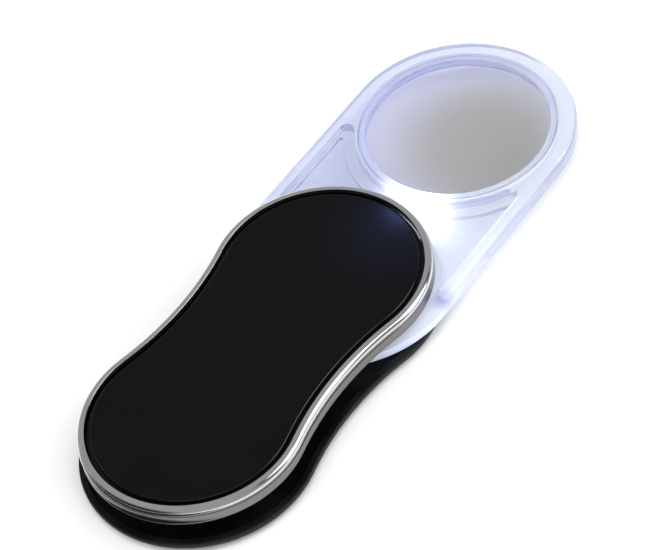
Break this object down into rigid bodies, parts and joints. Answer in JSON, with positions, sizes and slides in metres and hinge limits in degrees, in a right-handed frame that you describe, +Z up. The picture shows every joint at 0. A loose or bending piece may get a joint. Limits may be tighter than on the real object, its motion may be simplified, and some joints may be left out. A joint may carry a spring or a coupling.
{
  "type": "pocket magnifier",
  "caption": "Slim pocket magnifier: a clear lens frame swings out of an hourglass handle with a bright band and glossy panel, and a lamp in the hub lights it.",
  "frame": {"origin": "centre of the open magnifier's footprint, on the surface that the handle lies on", "axes": "+Y along the magnifier from the handle towards the lens, +Z up out of the glossy panel, +X to the right seen from above"},
  "size_m": [0.0576, 0.1638, 0.0129],
  "materials": {
    "shell": "black moulded plastic, satin gloss",
    "cover": "black moulded plastic, satin gloss",
    "bezel": "bright plated band",
    "panel": "high gloss black inlay",
    "nylon": "natural nylon",
    "steel": "bright steel",
    "board": "green solder mask",
    "lamp": "clear moulded lamp",
    "resistor": "black chip",
    "cell": "nickelled steel can",
    "brass": "bright contact metal",
    "clear_frame": "clear moulded acrylic",
    "lens": "polished optical acrylic"
  },
  "bodies": {
    "handle": {"shell": "shell", "top_cover": "cover", "bezel": "bezel", "panel": "panel", "slip_ring": "nylon", "wave_washer": "steel", "hub_screw_1": "steel", "hub_screw_2": "steel", "hub_screw_3": "steel", "hub_screw_4": "steel", "led_board": "board", "led": "lamp", "resistor": "resistor", "cell_lower": "cell", "cell_upper": "cell", "negative_contact": "brass", "positive_contact": "brass", "switch_wiper_left": "brass", "switch_wiper_right": "brass"},
    "swing_frame": {"lens_frame": "clear_frame", "lens": "lens", "lens_ring": "clear_frame", "contact_strip": "brass"},
    "cap": {"battery_cap": "shell", "cap_contact": "brass"}
  },
  "joints": [
    {"name": "frame_swing", "type": "hinge", "parent": "handle", "child": "swing_frame", "pos_m": [0, -0.00038, 0.0055], "axis": [0, 0, 1], "range_deg": [0, 180]},
    {"name": "cap_turn", "type": "hinge", "parent": "handle", "child": "cap", "pos_m": [0, -0.00038, 0.0008], "axis": [0, 0, 1], "range_deg": [0, 60]}
  ]
}
